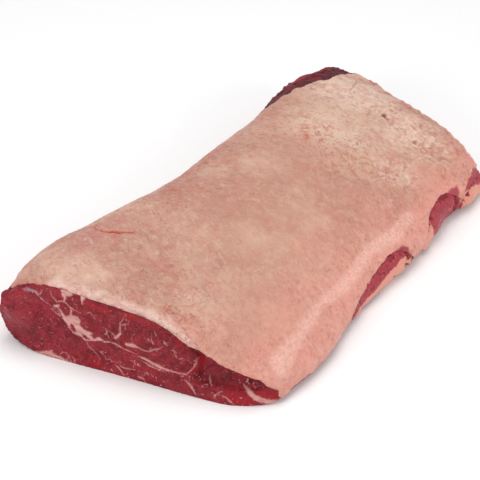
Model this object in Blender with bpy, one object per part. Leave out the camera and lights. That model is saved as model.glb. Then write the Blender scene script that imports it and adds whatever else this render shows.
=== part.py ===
"""A boneless beef striploin, fat side up, lying on its boned side.

Two solids make it: the lean, a long slab of muscle with a cut face at each end, and the fat cap that
lies on it. The cap wraps over the thin flank side and rises there over windows of bare lean, and on the
thick chine side it stops high. X runs across to the flank side, Y from the rump cut to the rib cut, and Z
up. The origin is at the centre of the rectangle that the piece covers on the table.
"""

import math

import bmesh
import bpy
import numpy as np
from mathutils import Matrix, Vector, noise
from mathutils.geometry import delaunay_2d_cdt

# The two cuts, in metres: Y at the table on the line X = CUT_X, how far that turns with X, and how far the
# face leans back with height, at the chine side and at the flank side. Y is centred at the very end.
CUT_X = -0.010
RUMP_CUT_Y = -0.1745
RUMP_CUT_SLANT = 0.20
RUMP_LEAN_BACK = (0.26, 0.05)
RIB_CUT_Y = 0.281
RIB_CUT_SLANT = -0.265
RIB_LEAN_BACK = (0.16, 0.12)

# The edges in plan: share of the way from the rump cut to the rib cut, and X there.
CHINE_EDGE = (
    (0.00, -0.120),
    (0.12, -0.126),
    (0.23, -0.114),
    (0.41, -0.096),
    (0.60, -0.092),
    (0.73, -0.091),
    (0.88, -0.099),
    (1.00, -0.095),
)
FLANK_EDGE = (
    (0.00, 0.126),
    (0.09, 0.132),
    (0.19, 0.132),
    (0.30, 0.126),
    (0.47, 0.124),
    (0.62, 0.129),
    (0.74, 0.127),
    (0.83, 0.123),
    (0.93, 0.131),
    (1.00, 0.130),
)

# Height of the fat's outer face over the middle, then its slope and its crown towards the flank side.
HEIGHT_AT_RUMP = (0.070, -0.021, -0.016)
HEIGHT_AT_RIB = (0.064, -0.012, -0.009)
WAIST_SHARE = 0.38
SHOULDER_ROUNDNESS = (3.6, 2.7)
FOOT_ROUNDNESS = (4.0, 6.0)
FLAT_FOOT_STRETCH = 1.035

# Rounding of the corners in plan, at the chine and the flank side.
CORNER_WIDTH = 0.045
RUMP_CORNER = (0.004, 0.019)
RIB_CORNER = (0.022, 0.014)
# How far the top falls towards the cuts, as a share of its height, from -1 at the chine side to 1 at the
# flank side. The end of the eye muscle holds it up at the rump cut.
ROLL_LENGTH = 0.09
RUMP_ROLL = (
    (-1.0, 0.06),
    (-0.4, 0.085),
    (0.0, 0.045),
    (0.2, 0.02),
    (0.4, 0.12),
    (0.55, 0.19),
    (0.75, 0.155),
    (1.0, 0.16),
)
RIB_ROLL = ((-1.0, 0.12), (1.0, 0.16))

# The fat cap.
FAT_THICKNESS = 0.010
FAT_EDGE_THICKNESS = 0.0035
# Its thickness at the rump cut, from the chine side to the flank side, and the share of the length over
# which it grows from there to the full one.
FAT_AT_RUMP = ((-1.0, 0.0036), (-0.6, 0.0038), (-0.4, 0.0055), (0.0, 0.005), (0.5, 0.0046), (1.0, 0.004))
FAT_GROWTH = 0.10
FAT_TAPER = 0.030
SEAM_GAP = 0.0010
FAT_EDGE_GAP = 0.0024
# Its edges: how far round the section each lies from the widest line, above it on the chine side and
# below it on the flank side, where it rises over the windows of bare lean.
CHINE_FAT_EDGE = (
    (0.00, 0.025),
    (0.30, 0.016),
    (0.70, 0.018),
    (0.82, 0.030),
    (0.92, 0.046),
    (1.00, 0.050),
)
FLANK_FAT_EDGE = (
    (0.00, 0.006),
    (0.12, 0.009),
    (0.29, 0.008),
    (0.37, -0.006),
    (0.45, -0.013),
    (0.56, -0.015),
    (0.62, 0.006),
    (0.66, 0.005),
    (0.72, -0.015),
    (0.84, -0.017),
    (0.885, -0.001),
    (0.93, -0.012),
    (1.00, -0.012),
)

# The rump cut's face, in metres: lumps that stand out of it, each with X, Z, half width, half height and
# how far it stands out, and the recess under the fat's edge on the flank side, as its depth and where it
# starts in X and in Z.
RUMP_LUMPS = (
    (-0.106, 0.043, 0.032, 0.020, 0.010),
    (-0.010, 0.040, 0.060, 0.022, 0.004),
    (0.070, 0.008, 0.050, 0.012, 0.003),
    (-0.118, 0.014, 0.024, 0.014, -0.005),
)
RECESS_DEPTH = 0.009
RECESS_X = (0.050, 0.062)
RECESS_Z = (0.012, 0.024)
RECESS_END_X = (0.108, 0.120)
RELIEF_REACH = 0.15

# Hollows in the fat where a flap was pulled off: X, Y before centring, radius and depth.
HOLLOWS = (
    (0.068, 0.204, 0.024, 0.0030),
    (0.026, 0.215, 0.012, 0.0030),
    (0.072, 0.149, 0.030, 0.0015),
)

# Unevenness of the whole, as a size and a height for each scale of lump.
UNEVENNESS = ((0.075, 0.0022), (0.030, 0.0009))
FOOT_FADE = 0.012

# How finely the solids are drawn.
STATIONS = 44
ACROSS = 26
FACE_SPACING = 0.009
FACE_MARGIN = 0.6
CURVE_STEPS = 200
TOUCHING = 1e-6
SHARP_EDGE = 50

LEAN_COLOUR = (0.29, 0.035, 0.047)
LEAN_ROUGHNESS = 0.38
FAT_COLOUR = (0.62, 0.33, 0.25)
FAT_ROUGHNESS = 0.5


def smooth_step(low, high, value):
    share = min(1.0, max(0.0, (value - low) / (high - low)))
    return share * share * (3 - 2 * share)


def along(profile, share):
    """The value of a profile of (share, value) points there, on a smooth curve through them."""
    last = len(profile) - 1
    i = 0
    while i < last - 1 and profile[i + 1][0] <= share:
        i += 1
    before, low = profile[max(0, i - 1)], profile[i]
    high, after = profile[i + 1], profile[min(last, i + 2)]
    width = high[0] - low[0]
    t = (share - low[0]) / width
    slope_in = width * (high[1] - before[1]) / (high[0] - before[0])
    slope_out = width * (after[1] - low[1]) / (after[0] - low[0])
    return (
        (2 * t**3 - 3 * t**2 + 1) * low[1]
        + (t**3 - 2 * t**2 + t) * slope_in
        + (3 * t**2 - 2 * t**3) * high[1]
        + (t**3 - t**2) * slope_out
    )


def mixed(pair, across):
    """Between a pair's chine value and flank value. across runs from -1 at the chine side to 1."""
    share = min(1.0, max(0.0, (across + 1) / 2))
    return pair[0] + (pair[1] - pair[0]) * share


def across_of(x, share):
    low, high = along(CHINE_EDGE, share), along(FLANK_EDGE, share)
    return 2 * (x - low) / (high - low) - 1


def height(share, across):
    """Height of the fat's outer face, away from the rounded sides."""
    middle, slope, crown = (
        rump + (rib - rump) * share for rump, rib in zip(HEIGHT_AT_RUMP, HEIGHT_AT_RIB)
    )
    roll = along(RUMP_ROLL, across) * (1 - smooth_step(0, ROLL_LENGTH, share)) ** 2
    roll += along(RIB_ROLL, across) * smooth_step(1 - ROLL_LENGTH, 1, share) ** 2
    return (middle + slope * across + crown * across**2) * (1 - roll)


def corner(x, share, depths):
    """How far a cut falls back near the corners in plan."""
    to_chine = x - along(CHINE_EDGE, share)
    to_flank = along(FLANK_EDGE, share) - x
    fall = depths[0] * max(0.0, 1 - to_chine / CORNER_WIDTH) ** 2
    return fall + depths[1] * max(0.0, 1 - to_flank / CORNER_WIDTH) ** 2


def rump_cut(x, z):
    """Y of the rump cut there, without its lumps."""
    lean_back = mixed(RUMP_LEAN_BACK, across_of(x, 0))
    return RUMP_CUT_Y + RUMP_CUT_SLANT * (x - CUT_X) + lean_back * z + corner(x, 0, RUMP_CORNER)


def rib_cut(x, z):
    """Y of the rib cut there."""
    lean_back = mixed(RIB_LEAN_BACK, across_of(x, 1))
    return RIB_CUT_Y + RIB_CUT_SLANT * (x - CUT_X) - lean_back * z - corner(x, 1, RIB_CORNER)


def rump_relief(x, z):
    """How far the lean's face at the rump cut lies behind the plain cut."""
    recess = smooth_step(*RECESS_X, x) * smooth_step(*RECESS_Z, z)
    recess *= 1 - smooth_step(*RECESS_END_X, x)
    depth = RECESS_DEPTH * recess
    for centre_x, centre_z, half_width, half_height, out in RUMP_LUMPS:
        away = ((x - centre_x) / half_width) ** 2 + ((z - centre_z) / half_height) ** 2
        depth -= out * math.exp(-away)
    return depth


def unevenness(point):
    bumps = sum(high * noise.noise(Vector(point) / size) for size, high in UNEVENNESS)
    for x, y, radius, deep in HOLLOWS:
        away = ((point[0] - x) ** 2 + (point[1] - y) ** 2) / radius**2
        bumps -= deep * math.exp(-away * away)
    return bumps * smooth_step(0, FOOT_FADE, point[2])


def section_point(share, angle):
    """A point of the loin's outer face. The angle is 0 at the widest line of the flank side, a quarter
    turn on top, a half turn at the chine side and negative under the loin."""
    across = math.cos(angle)
    x = along(CHINE_EDGE, share) * (1 - across) / 2 + along(FLANK_EDGE, share) * (1 + across) / 2
    full = height(share, across)
    waist = WAIST_SHARE * full
    if angle >= 0:
        power = SHOULDER_ROUNDNESS[0] if across < 0 else SHOULDER_ROUNDNESS[1]
        rise = (1 - abs(across) ** power) ** (1 / power)
        z = waist + (full - waist) * rise
    else:
        power = FOOT_ROUNDNESS[0] if across < 0 else FOOT_ROUNDNESS[1]
        drop = (1 - abs(across) ** power) ** (1 / power)
        z = waist * (1 - min(1.0, FLAT_FOOT_STRETCH * drop))
    return x, z


def outward(share, angle):
    """The outward direction of the section there, in X and Z."""
    step = 0.01
    x_before, z_before = section_point(share, angle - step)
    x_after, z_after = section_point(share, angle + step)
    dx, dz = x_after - x_before, z_after - z_before
    size = math.hypot(dx, dz)
    return dz / size, -dx / size


def arc_lengths(share, angles):
    points = np.array([section_point(share, a) for a in angles])
    steps = np.linalg.norm(np.diff(points, axis=0), axis=1)
    return np.concatenate([[0], np.cumsum(steps)])


def even_angles(share, low, high):
    """Angles from low to high at even steps round the section."""
    angles = np.linspace(low, high, CURVE_STEPS)
    lengths = arc_lengths(share, angles)
    return np.interp(np.linspace(0, lengths[-1], ACROSS + 1), lengths, angles)


def angle_after(share, start, arc):
    """The angle that lies an arc length round the section from the start, towards the flank side's foot."""
    turn = -math.copysign(math.pi / 2, arc)
    angles = np.linspace(start, start + turn, CURVE_STEPS)
    return float(np.interp(abs(arc), arc_lengths(share, angles), angles))


def fat_edges(share):
    """The angles of the fat cap's edges on the chine side and on the flank side."""
    chine = angle_after(share, math.pi, along(CHINE_FAT_EDGE, share))
    flank = angle_after(share, 0.0, along(FLANK_FAT_EDGE, share))
    return chine, flank


def fat_depth(share, angle, chine, flank):
    """The fat's thickness: thin at its two edges and at the rump cut, full over the back."""
    x, z = section_point(share, angle)
    to_edge = min(math.dist((x, z), section_point(share, edge)) for edge in (chine, flank))
    at_rump = along(FAT_AT_RUMP, math.cos(angle))
    full = at_rump + (FAT_THICKNESS - at_rump) * smooth_step(0, FAT_GROWTH, share)
    return FAT_EDGE_THICKNESS + (full - FAT_EDGE_THICKNESS) * smooth_step(0, FAT_TAPER, to_edge)


def place(x, z, share):
    """The point at that share of the way from the rump cut to the rib cut."""
    return np.array((x, rump_cut(x, z) * (1 - share) + rib_cut(x, z) * share, z))


def loin_point(share, angle, depth=0.0):
    """A point of the loin's uneven outer face, or that deep under it."""
    x, z = section_point(share, angle)
    out_x, out_z = outward(share, angle)
    move = unevenness(place(x, z, share)) - depth
    return place(x + out_x * move, z + out_z * move, share)


def lean_share(share, angle):
    """Where the lean's outline lies along the loin: near the rump cut it slides to meet the relief."""
    x, z = section_point(0, angle)
    slide = rump_relief(x, z) / (rib_cut(x, z) - rump_cut(x, z))
    return share + slide * (1 - smooth_step(0, RELIEF_REACH, share))


def fat_lines(share):
    """The fat cap's outer and inner line there, from its chine edge to its flank edge."""
    chine, flank = fat_edges(share)
    angles = even_angles(share, chine, flank)
    outer = [loin_point(share, angle) for angle in angles]
    inner = [loin_point(share, angle, fat_depth(share, angle, chine, flank)) for angle in angles]
    return outer, inner


def lean_loop(share):
    """The lean's outline there: under the fat from chine to flank, then back along the bare foot."""
    chine, flank = fat_edges(share)
    loop = []
    for angle in even_angles(share, chine, flank):
        here = lean_share(share, angle)
        depth = fat_depth(here, angle, *fat_edges(here)) + SEAM_GAP
        loop.append(loin_point(here, angle, depth))
    bare_flank = angle_after(share, flank, FAT_EDGE_GAP)
    bare_chine = angle_after(share, chine, -FAT_EDGE_GAP)
    for angle in even_angles(share, bare_flank, bare_chine - 2 * math.pi):
        turned = angle + 2 * math.pi if angle < -math.pi else angle
        loop.append(loin_point(lean_share(share, turned), turned))
    return loop


def numbered(points, vertices):
    """Adds the points to the vertices and gives their numbers."""
    start = len(vertices)
    vertices.extend(points)
    return list(range(start, start + len(points)))


def grid_faces(rows, closed=False):
    """Four-sided faces between rows of vertex numbers."""
    faces = []
    for one, two in zip(rows, rows[1:]):
        count = len(one)
        for i in range(count if closed else count - 1):
            j = (i + 1) % count
            faces.append((one[i], one[j], two[j], two[i]))
    return faces


def cut_face(loop, vertices, face_y):
    """Fills a cut: a grid of points inside its outline, each at the face's Y, joined into triangles."""
    outline = np.array([(vertices[i][0], vertices[i][2]) for i in loop])
    low, high = outline.min(axis=0) + FACE_SPACING / 2, outline.max(axis=0)
    known = list(loop)
    flat = [Vector(point) for point in outline]
    for x in np.arange(low[0], high[0], FACE_SPACING):
        for z in np.arange(low[1], high[1], FACE_SPACING):
            to_outline = np.linalg.norm(outline - (x, z), axis=1).min()
            if to_outline > FACE_MARGIN * FACE_SPACING:
                known.append(len(vertices))
                vertices.append(np.array((x, face_y(x, z), z)))
                flat.append(Vector((x, z)))
    ring = list(range(len(loop)))
    inside_only = 1
    triangles, sources = delaunay_2d_cdt(flat, [], [ring], inside_only, TOUCHING)[2:4]
    return [[known[sources[corner][0]] for corner in triangle] for triangle in triangles]


def make_material(name, colour, roughness):
    material = bpy.data.materials.new(name)
    material.use_nodes = True
    shader = material.node_tree.nodes["Principled BSDF"]
    shader.inputs["Base Color"].default_value = (*colour, 1)
    shader.inputs["Roughness"].default_value = roughness
    shader.inputs["Metallic"].default_value = 0.0
    return material


def make_object(name, vertices, faces, material):
    shape = bmesh.new()
    used = sorted({i for face in faces for i in face})
    made = {i: shape.verts.new(tuple(vertices[i])) for i in used}
    for face in faces:
        shape.faces.new([made[i] for i in face])
    bmesh.ops.recalc_face_normals(shape, faces=shape.faces)
    mesh = bpy.data.meshes.new(name)
    shape.to_mesh(mesh)
    shape.free()
    mesh.shade_smooth()
    mesh.set_sharp_from_angle(angle=math.radians(SHARP_EDGE))
    mesh.materials.append(material)
    solid = bpy.data.objects.new(name, mesh)
    bpy.context.scene.collection.objects.link(solid)
    return solid


def make_fat_cap():
    """A closed sheet: its outer face, its inner face, and the walls round its edge."""
    vertices = []
    outer_rows, inner_rows = [], []
    for station in range(STATIONS + 1):
        outer, inner = fat_lines(station / STATIONS)
        outer_rows.append(numbered(outer, vertices))
        inner_rows.append(numbered(inner, vertices))
    faces = grid_faces(outer_rows) + grid_faces(inner_rows)
    for end in (0, -1):
        faces += grid_faces([outer_rows[end], inner_rows[end]])
        edge = [[row[end] for row in rows] for rows in (outer_rows, inner_rows)]
        faces += grid_faces(edge)
    material = make_material("striploin_fat", FAT_COLOUR, FAT_ROUGHNESS)
    return make_object("fat_cap", vertices, faces, material)


def make_lean():
    """The slab of muscle: its outline at every station, and a cut face at each end."""
    vertices = []
    loops = [numbered(lean_loop(i / STATIONS), vertices) for i in range(STATIONS + 1)]
    faces = grid_faces(loops, closed=True)
    faces += cut_face(loops[0], vertices, lambda x, z: rump_cut(x, z) + rump_relief(x, z))
    faces += cut_face(loops[-1], vertices, rib_cut)
    material = make_material("striploin_lean", LEAN_COLOUR, LEAN_ROUGHNESS)
    return make_object("lean", vertices, faces, material)


def centre(solids):
    """Moves the solids so that the origin is at the centre of their footprint, on the table."""
    points = np.array([v.co for solid in solids for v in solid.data.vertices])
    low, high = points.min(axis=0), points.max(axis=0)
    shift = Vector((-(low[0] + high[0]) / 2, -(low[1] + high[1]) / 2, -low[2]))
    for solid in solids:
        solid.data.transform(Matrix.Translation(shift))


def main():
    for old in list(bpy.data.objects):
        bpy.data.objects.remove(old)
    centre([make_lean(), make_fat_cap()])


main()
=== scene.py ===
import math
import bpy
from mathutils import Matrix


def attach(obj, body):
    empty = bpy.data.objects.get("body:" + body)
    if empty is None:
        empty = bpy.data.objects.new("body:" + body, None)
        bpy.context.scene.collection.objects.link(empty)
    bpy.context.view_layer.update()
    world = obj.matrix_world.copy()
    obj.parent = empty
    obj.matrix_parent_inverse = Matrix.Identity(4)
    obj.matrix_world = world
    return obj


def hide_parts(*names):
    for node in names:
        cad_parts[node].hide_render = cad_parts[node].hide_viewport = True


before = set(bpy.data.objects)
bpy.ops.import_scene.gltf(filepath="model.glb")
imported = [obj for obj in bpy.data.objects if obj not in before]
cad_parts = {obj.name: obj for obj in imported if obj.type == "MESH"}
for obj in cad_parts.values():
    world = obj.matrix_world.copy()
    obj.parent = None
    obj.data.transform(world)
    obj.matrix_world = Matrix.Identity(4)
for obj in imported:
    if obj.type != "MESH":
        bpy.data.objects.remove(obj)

from types import SimpleNamespace

import bmesh
import bpy
import numpy as np
from bpy.props import FloatProperty, FloatVectorProperty, PointerProperty
from mathutils import Vector, noise
from mathutils.bvhtree import BVHTree
from mathutils.kdtree import KDTree

bl_info = {
    "name": "Boneless beef striploin",
    "version": (1, 0, 0),
    "blender": (4, 5, 0),
    "location": "3D View > Sidebar > Striploin",
    "description": "Builds the lean and the fat cap of a raw beef striploin on its solids, and a plain stage",
    "category": "Object",
}

MM = 0.001

# The photo's camera: turn and height in degrees, distance, field, and the point that it looks at.
CAMERA_TURN = 33
CAMERA_HEIGHT = 36
CAMERA_DISTANCE = 1.44
CAMERA_LENS = 121.26
CAMERA_SENSOR = 36
CAMERA_TARGET = (-0.00296, -0.05061, 0.036)

# Drawn places are in millimetres in the part's own frame. On the rump cut they are X and Z.
# White lines of fat: X, Z and half width at each point.
RUMP_FAT_LINES = (
    ((-24, 30.5, 0.9), (-18, 33, 0.8), (-10, 31, 1.1), (-3, 30, 1.2), (3, 28.5, 0.8), (7, 27.5, 0.4)),
    (
        (8, 25.5, 0.5), (12, 24.3, 1.3), (17, 22.7, 1.6), (24, 20.4, 1.7), (32, 19.3, 1.2),
        (42, 19.5, 1), (50, 18.5, 0.7),
    ),
    ((11, 21, 0.4), (17, 18.8, 0.8), (24, 17.2, 0.7), (31, 17, 0.3)),
    (
        (-65, 62.5, 1.7), (-62.5, 59.9, 1.1), (-63, 56.3, 0.8), (-58, 53.8, 1), (-54, 52.3, 0.7),
        (-46, 50.9, 0.25),
    ),
    ((-58.5, 53.8, 0.8), (-56.5, 52, 0.9), (-55, 48, 0.9), (-54, 45, 1.2)),
    ((-76, 60.9, 0.3), (-74, 57.3, 0.45), (-69, 54.9, 0.5), (-63, 56.2, 0.5)),
    ((-68, 50.2, 0.7), (-65, 48, 0.9), (-62, 45, 1)),
    ((-72, 47.5, 0.4), (-68, 44.5, 0.6), (-64, 43.5, 0.8)),
    ((-86.5, 56, 0.5), (-84.5, 58, 0.7), (-83.5, 60.5, 0.3)),
    ((-41, 26.5, 0.45), (-35, 19.2, 0.4), (-29, 14.1, 0.4), (-27, 11.6, 0.3)),
    (
        (-6.5, 60, 0.3), (-8, 56, 0.4), (-10, 51.2, 0.5), (-9.3, 46.8, 0.7), (-8, 44.2, 0.9),
        (-10, 41.5, 1.2), (-12, 39, 1.6),
    ),
    ((-12, 40, 0.8), (-15, 42.3, 0.5), (-18, 43.5, 0.3)),
    ((-10, 49.8, 0.5), (-6, 52.1, 0.5), (-2, 53.2, 0.3)),
    ((-5, 52, 0.35), (-4, 48.3, 0.3)),
    ((-5.5, 57, 0.5), (-4.5, 56, 0.4)),
    ((-22, 44.3, 0.5), (-20, 42.4, 0.6), (-21.5, 39, 0.4)),
    ((-20, 41, 0.4), (-18, 37.2, 0.4)),
    ((-2.5, 35.6, 1.3), (1.5, 35.6, 2.1), (5, 35.3, 1.9), (8, 34.8, 0.9), (12, 34.6, 0.6), (17, 34.4, 0.7)),
    ((17, 34.4, 0.7), (21, 36.8, 0.6), (25, 38.8, 0.5), (29, 41.5, 0.3)),
    ((17.5, 34.4, 0.4), (19.5, 38, 0.3)),
    ((2, 44, 0.2), (2.5, 41, 0.3), (3.5, 38, 0.3)),
    ((16, 45.7, 0.7), (18.3, 44.6, 0.5)),
    ((18, 49.5, 0.3), (19, 46.2, 0.5), (20.5, 43.3, 0.7), (21, 41.5, 0.4)),
    ((29.5, 47, 0.4), (30.5, 45, 0.8), (32, 43.5, 0.4)),
    ((30, 44.5, 0.5), (33, 46.5, 0.3)),
    ((35.5, 40.5, 0.3), (37.5, 40.7, 0.6), (40, 40, 0.4)),
    ((38, 39.5, 0.4), (40, 36.2, 0.4), (41, 34.5, 0.3)),
    ((43, 34.5, 0.6), (46, 34.9, 0.4)),
    ((-40, 52.5, 0.25), (-37.5, 54, 0.3), (-33, 52, 0.25)),
    ((-18.5, 48, 0.5), (-18, 47.5, 0.4)),
    ((-28, 49.7, 0.4), (-27, 49.5, 0.3)),
    ((-39.5, 41, 0.5), (-38.3, 40.5, 0.4)),
    ((-55, 60.5, 0.6), (-54, 60, 0.5)),
    ((50.5, 20.3, 0.6), (52, 22.5, 0.9), (53.5, 26, 0.9), (54.5, 30, 0.7), (54.5, 34, 0.4)),
    ((53.5, 31, 0.5), (56.5, 33.5, 0.4)),
    ((-26.5, 18.8, 0.7), (-25, 17.8, 0.5)),
    ((-16, 12.5, 0.4), (-11, 13, 0.3)),
    ((-13, 10, 0.5), (-9, 6.3, 0.9), (-6, 2, 0.6)),
    ((-9, 9.9, 0.4), (-2, 9.6, 0.5), (4, 10.2, 0.3)),
    ((8, 4.2, 0.9), (13, 4.4, 0.7)),
    ((0, 19, 0.3), (5, 19.5, 0.4)),
    ((49.5, 14, 0.4), (52.5, 12, 0.9), (55, 10, 1.3), (57, 7, 0.8), (59, 2.4, 0.5)),
    ((65, 20, 0.3), (68, 17, 0.5), (71, 14.5, 0.3)),
    ((75, 4.2, 0.4), (76, 8, 0.5), (78.5, 11.2, 0.6), (81, 12.7, 0.4)),
    ((82, 8.5, 0.4), (84, 7.5, 0.7), (86, 5.5, 1.2), (89, 2.5, 0.6), (92, 1, 0.4)),
    (
        (94, 19, 0.5), (97, 17.5, 0.9), (101, 13.8, 1.7), (105, 10, 2.2), (109, 6.5, 2.6), (116, 3, 2.8),
        (124, 0.5, 2.4),
    ),
    ((-64, 4.5, 0.5), (-62, 7.5, 0.4), (-58, 8.3, 0.4), (-56, 5, 0.5), (-57, 2.5, 0.5)),
    ((-53.5, 6.8, 0.4), (-51, 4, 0.5), (-50, 1.5, 0.6)),
)
# Wider pieces of fat on the rump cut, and the islands of lean in them, as outlines.
RUMP_FAT_PATCHES = (
    (
        (-65, 47.4), (-62.5, 46), (-59, 44.5), (-56.5, 46.5), (-53.5, 46.8), (-50, 46.8), (-47.5, 45.5),
        (-45, 44.3), (-45.5, 40.7), (-43, 37.5), (-40, 35.7), (-34, 36.4), (-35, 33.9), (-33, 32),
        (-27, 34), (-23, 31.5), (-27, 29.6), (-32, 28.3), (-41, 25.9), (-45, 28.2), (-51, 29.3),
        (-55, 32.3), (-57, 36), (-60, 39.2), (-63, 41.5),
    ),
    ((-72, 51.5), (-67.5, 53.2), (-65, 51.2), (-66.5, 50.3), (-68.5, 49.4)),
    ((-67.5, 64), (-63.5, 61.3), (-60, 60.6), (-56.5, 62.6), (-56, 66), (-67, 66)),
    ((-50.5, 65), (-47.5, 61.8), (-45.3, 58.3), (-43.8, 58.6), (-44.3, 61.5), (-44, 65)),
    (
        (-92, 0), (-86, 1.6), (-80, 3.2), (-75, 5.5), (-71, 7.8), (-70, 5), (-64, 3.6), (-60, 2),
        (-55, 1.2), (-49, 0),
    ),
)
RUMP_LEAN_ISLANDS = (
    ((-54.5, 38.5), (-52, 37.7), (-49.8, 33.3), (-51, 31.6), (-53.8, 34.5)),
    ((-43.5, 31.5), (-40, 30.9), (-36.5, 28.9), (-39.5, 28), (-42.8, 29.2)),
    ((-36, 33.6), (-31, 33.2), (-29.5, 31.8), (-33.5, 31.2)),
    ((-70, 5.2), (-66, 6), (-62, 4.4), (-66, 3.2)),
)
# Silverskin: the bluish sheet between the large muscle and the rest.
SILVER_LINES = (
    (
        (-120, 49, 0.9), (-113, 53.5, 1.2), (-104, 57.6, 1.2), (-97, 58.3, 1.2), (-91, 57.8, 0.9),
        (-84, 55, 0.6),
    ),
    ((-84, 55, 0.6), (-78, 52, 0.5), (-72, 49.2, 0.45), (-67, 46.2, 0.5), (-62, 42.6, 0.35)),
    ((-57, 33.5, 0.4), (-52, 29.6, 0.8), (-46, 27.6, 0.5)),
)
# Wet bright red: the ledges under the fat, the torn meat at the foot, the side of the eye muscle's end, and
# the piece on the right.
BRIGHT_PATCHES = (
    ((55.5, 37.5), (61, 33), (62, 26), (58, 22.5), (51, 20), (48.5, 21.5), (51.5, 26), (54, 32)),
    ((85, 14.8), (91, 14.4), (99, 14), (103, 9.9), (107, 4.7), (105, 0.8), (95, 0.4), (87, 3.7), (84.5, 9)),
    (
        (103, 15), (109, 14.5), (114, 14.5), (118, 12.5), (123, 8.7), (121, 4.5), (116, 2.1), (111, 6.2),
        (106, 10.5),
    ),
    ((-39, 6), (-36, 12.5), (-31, 13.8), (-27, 10.6), (-25, 4.8), (-28, 0.4), (-36, 0.3)),
)
BRIGHT_LINES = (
    ((-46, 61, 0.8), (-40, 60.2, 1.4), (-33, 58.8, 1.8), (-27, 57.6, 2.1), (-22, 57.8, 1.9), (-18, 60, 0.8)),
    ((-9, 60.8, 0.7), (-4, 59.8, 1.5), (2, 59, 1.7), (8, 57.8, 1.1), (16, 56, 0.6), (24, 53.5, 0.4)),
    ((37, 50.5, 0.8), (40, 48, 1.2), (43, 45.5, 0.6)),
    ((17, 25.2, 0.4), (25, 22.8, 0.6), (34, 21.2, 0.7), (44, 21.4, 0.7)),
    ((-4, 31.6, 0.4), (4, 29.6, 0.5), (9, 27.6, 0.4)),
    ((-44, 16, 0.9), (-39, 13, 1.2), (-35, 9, 1.5)),
)
# The outline of the eye muscle, which is browner than the rest.
EYE_MUSCLE = (
    (-60, 56), (-56, 62), (-46, 63), (-20, 63), (8, 61), (25, 57), (36, 52), (46, 46), (56, 37), (53, 28),
    (49, 21), (40, 20.5), (27, 21.5), (14, 26), (3, 29), (-6, 31), (-14, 33.5), (-24, 33.5), (-34, 37),
    (-43, 39), (-45, 46), (-54, 50),
)
# The darkest meat, and painted shade in the recess under the fat's edge on the right, the spots at X 62 and
# 76; then the torn meat at the foot: X, Z, half width and half height.
DARK_SPOTS = (
    (-50, 21, 16, 8),
    (-33, 14, 12, 8),
    (-80, 25, 15, 8),
    (62, 14, 10, 8),
    (76, 20, 20, 5),
    (-14, 28, 10, 2.5),
)
TORN_FOOT = ((-38, 8, 9, 9),)
# Lobes of lean that reach up into the fat's cut edge.
FAT_LEAN_LOBES = (
    ((-73, 61), (-72.5, 64), (-70, 66), (-65, 66.6), (-61.5, 65.8), (-60.5, 63.6), (-62.5, 62), (-66, 61.5)),
    ((-99, 57), (-97, 61), (-92, 63.3), (-84, 65), (-77, 64.4), (-75, 61)),
)
# Lines of fat on the rib cut, which the photo doesn't show: X, Z and half width.
RIB_FAT_LINES = (
    (
        (-96, 40, 1), (-80, 33, 1.6), (-62, 26, 2.4), (-48, 23, 2.8), (-30, 22, 1.6), (-10, 19, 1.2),
        (14, 17, 1.4),
    ),
    ((14, 17, 1.4), (40, 16, 1), (66, 17, 1.6), (84, 20, 1.2), (100, 18, 2), (118, 10, 2.4)),
    ((-70, 44, 0.5), (-58, 38, 0.6), (-50, 40, 0.4)),
    ((-20, 44, 0.4), (-14, 38, 0.6), (-16, 32, 0.8), (-8, 28, 0.4)),
    ((20, 38, 0.4), (26, 33, 0.6), (36, 31, 0.4)),
    ((52, 30, 0.4), (56, 26, 0.6), (64, 25, 0.3)),
    ((-70, 8, 0.6), (-56, 12, 1), (-40, 9, 0.5)),
    ((0, 6, 0.5), (10, 9, 0.8), (22, 7, 0.4)),
    ((60, 8, 0.6), (72, 6, 0.9), (84, 8, 0.4)),
)
# On the flank side places are Y and Z: the fat band under the first window, the nub and the lines.
FLANK_FAT_PATCHES = (
    (
        (-60, 2), (-50, 12), (-36, 11.5), (-20, 12), (-6, 15), (6, 19), (18, 21), (32, 19), (40, 14),
        (40, 4), (10, 2.5), (-20, 2),
    ),
    ((46, 0), (54, 10), (66, 20), (76, 28), (79, 27), (80, 20), (82, 12), (86, 5), (88, 0)),
    ((139, 18), (146, 21), (153, 24.5), (162, 23), (170, 19), (180, 14), (184, 0), (145, 0), (141, 8)),
)
FLANK_FAT_LINES = (
    (
        (80, 16, 0.5), (90, 18, 0.5), (100, 19, 0.6), (108, 17.5, 0.5), (120, 17, 0.6), (128, 20, 0.6),
        (134, 23, 0.4),
    ),
    ((96, 19, 0.5), (100, 23.5, 0.4), (102, 26, 0.3)),
    ((117, 11, 0.6), (121, 16, 0.4)),
    ((10, 24, 0.4), (18, 25, 0.5), (26, 24.5, 0.4)),
    ((137, 27, 1.2), (138.5, 20, 1.6), (137, 12, 1.2)),
)
# The windows of lean as Y and Z, where they reach into the fat's edge.
WINDOWS = (
    ((-46, 14), (-27, 20), (-9, 24), (11, 28), (29, 29), (36, 24), (34, 16), (5, 17), (-22, 10), (-46, 11)),
    ((78, 12), (81, 29), (88, 31), (107, 30), (128, 30), (140, 31), (138, 27), (134, 19), (121, 8)),
    ((143, 24), (149, 28), (156, 30), (164, 30.5), (176, 31), (186, 25), (184, 18), (170, 19), (154, 23)),
)
# Where the fat's edge hangs lower over the flank side: Y, half length and how far, in millimetres.
LOWER_EDGE = ((-22, 20, 4.5), (120, 12, 3.5))
# A painted highlight along the shiny ridge of the flank roll: X, Y and half width.
ROLL_HIGHLIGHT_LINE = (
    (112, -170, 7), (109, -132, 4), (103, -90, 3.5), (106, -52, 4), (102, -2, 4), (109, 31, 5),
    (107, 63, 4),
)
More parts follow.
